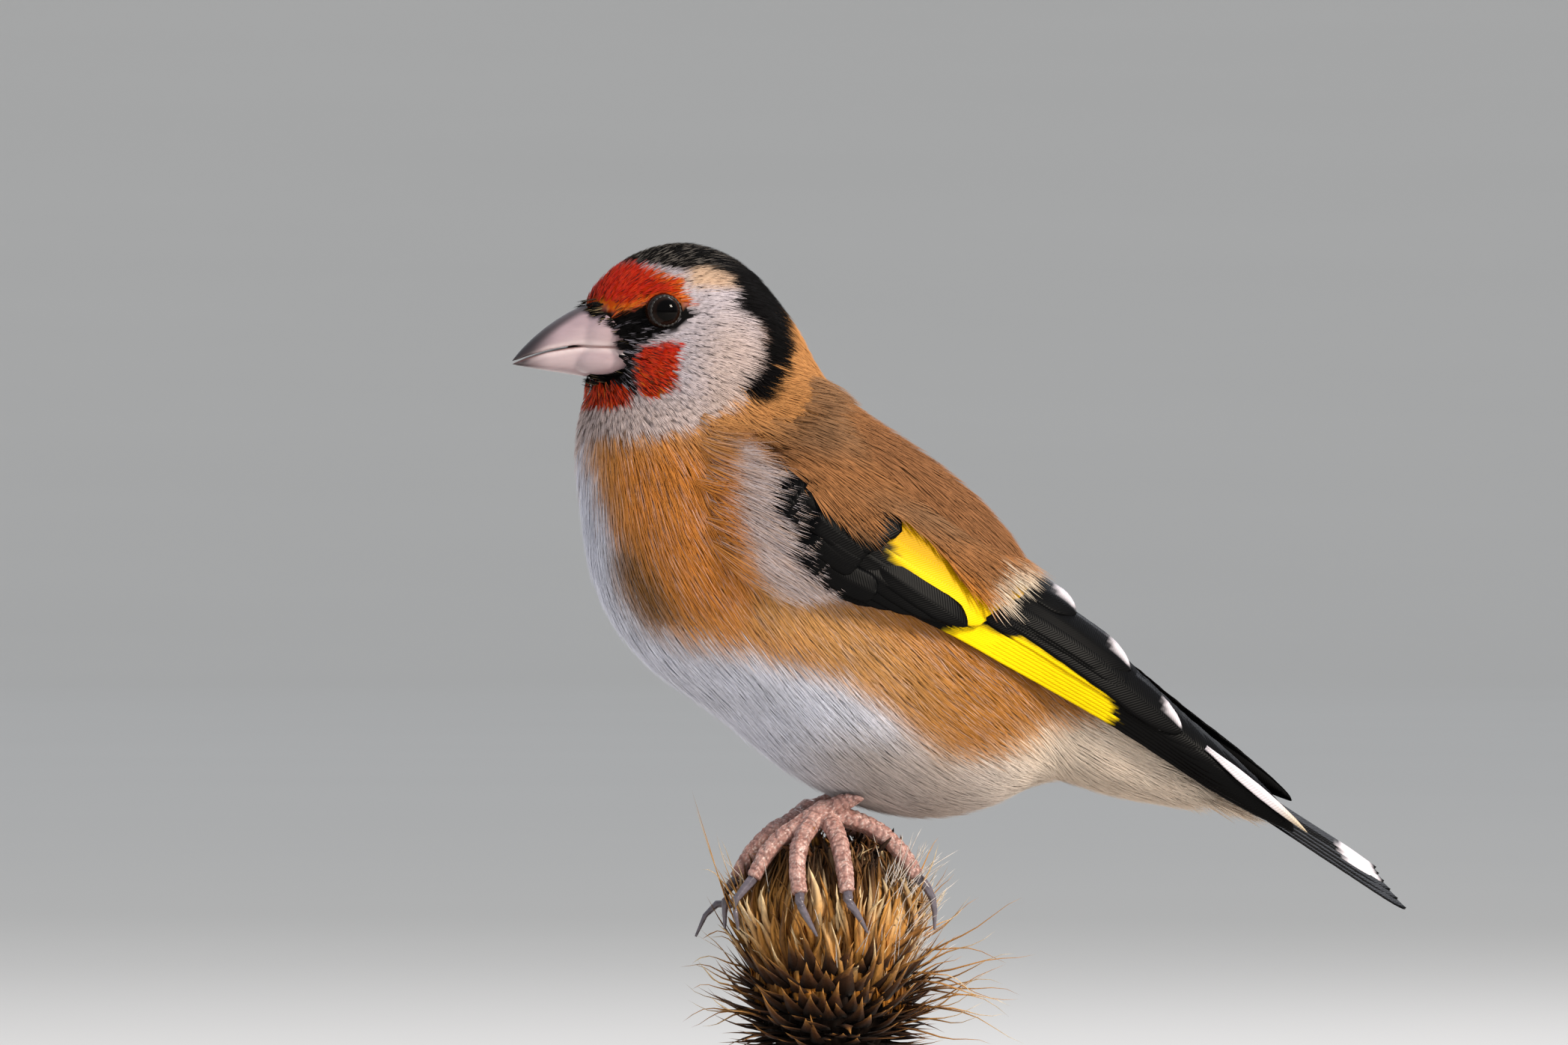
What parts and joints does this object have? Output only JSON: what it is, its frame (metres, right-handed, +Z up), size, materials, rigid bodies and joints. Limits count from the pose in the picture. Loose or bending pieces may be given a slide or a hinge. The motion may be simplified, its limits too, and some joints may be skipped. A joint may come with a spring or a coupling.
{
  "type": "european goldfinch",
  "caption": "Life-size model of a small finch with closed wings and forked tail, perched on a dry thistle head on a rod and round base.",
  "frame": {"origin": "centre of the stand base's underside", "axes": "+Z up; the bird faces -X, turned about 10 degrees towards -Y; its left side faces -Y"},
  "size_m": [0.107, 0.08, 0.1344],
  "materials": {
    "plumage_head": "soft small feathers: red face, black crown, buff-white cheek",
    "plumage_body": "soft body feathers, rufous-brown above and on the breast, white below",
    "plumage_wing": "black flight feathers with a yellow band and white tips, satin",
    "plumage_tail": "black tail feathers with white spots, satin",
    "bill": "pale pinkish horn, satin, dark at the tip",
    "eye": "dark brown, glossy",
    "foot": "pinkish-brown scaled skin, satin",
    "claw": "dark grey horn, satin",
    "thistle": "dry straw-brown florets and bracts",
    "stem": "dry ribbed plant stem",
    "stand_wood": "oiled dark wood",
    "stand_brass": "polished"
  },
  "bodies": {
    "root": {"head": "plumage_head", "neck": "plumage_body", "torso": "plumage_body", "tail": "plumage_tail", "bill_upper": "bill", "bill_lower": "bill", "eye_left": "eye", "wing_left": "plumage_wing", "leg_left": "foot", "foot_left": "foot", "claw_left_middle": "claw", "claw_left_inner": "claw", "claw_left_outer": "claw", "claw_left_hind": "claw", "eye_right": "eye", "wing_right": "plumage_wing", "leg_right": "foot", "foot_right": "foot", "claw_right_middle": "claw", "claw_right_inner": "claw", "claw_right_outer": "claw", "claw_right_hind": "claw", "perch_head": "thistle", "perch_stem": "stem", "stand_rod": "stand_brass", "stand_base": "stand_wood"}
  },
  "joints": []
}
